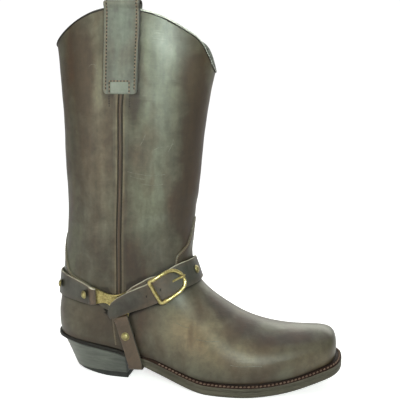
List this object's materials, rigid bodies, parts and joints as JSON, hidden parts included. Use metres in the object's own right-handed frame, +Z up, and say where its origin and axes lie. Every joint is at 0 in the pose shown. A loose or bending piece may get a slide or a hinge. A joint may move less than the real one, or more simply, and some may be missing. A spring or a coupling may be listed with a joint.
{
  "type": "western boot",
  "caption": "Right western harness boot: waxed brown leather shaft, snipped toe, underslung heel, buckled ankle straps with brass links and studs.",
  "frame": {"origin": "middle of the boot's footprint box, on the floor", "axes": "+X points to the toe, +Y to the inner (big-toe) side, +Z up along the shaft"},
  "size_m": [0.3142, 0.1096, 0.3956],
  "materials": {
    "upper_leather": "waxed, mottled, satin",
    "strap_leather": "waxed, satin",
    "insole_leather": "plain, matte",
    "welt_leather": "dyed dark, stitched",
    "sole_edge": "dressed edge, satin",
    "heel_stack": "dressed edge, satin",
    "top_lift_rubber": "matte",
    "antique_brass": "antiqued, brushed"
  },
  "bodies": {
    "root": {"upper": "upper_leather", "insole": "insole_leather", "welt": "welt_leather", "outsole": "sole_edge", "heel_stack": "heel_stack", "heel_top_lift": "top_lift_rubber", "link_plate_outer": "antique_brass", "link_plate_inner": "antique_brass", "under_strap": "strap_leather", "back_strap": "strap_leather", "buckle_chape": "strap_leather", "front_strap": "strap_leather", "buckle_frame": "antique_brass", "buckle_prong": "antique_brass", "stud_back_1": "antique_brass", "stud_back_2": "antique_brass", "stud_back_3": "antique_brass", "stud_front_1": "antique_brass", "stud_under_outer": "antique_brass", "stud_under_inner": "antique_brass", "pull_strap_outer": "strap_leather", "pull_strap_inner": "strap_leather"}
  },
  "joints": []
}
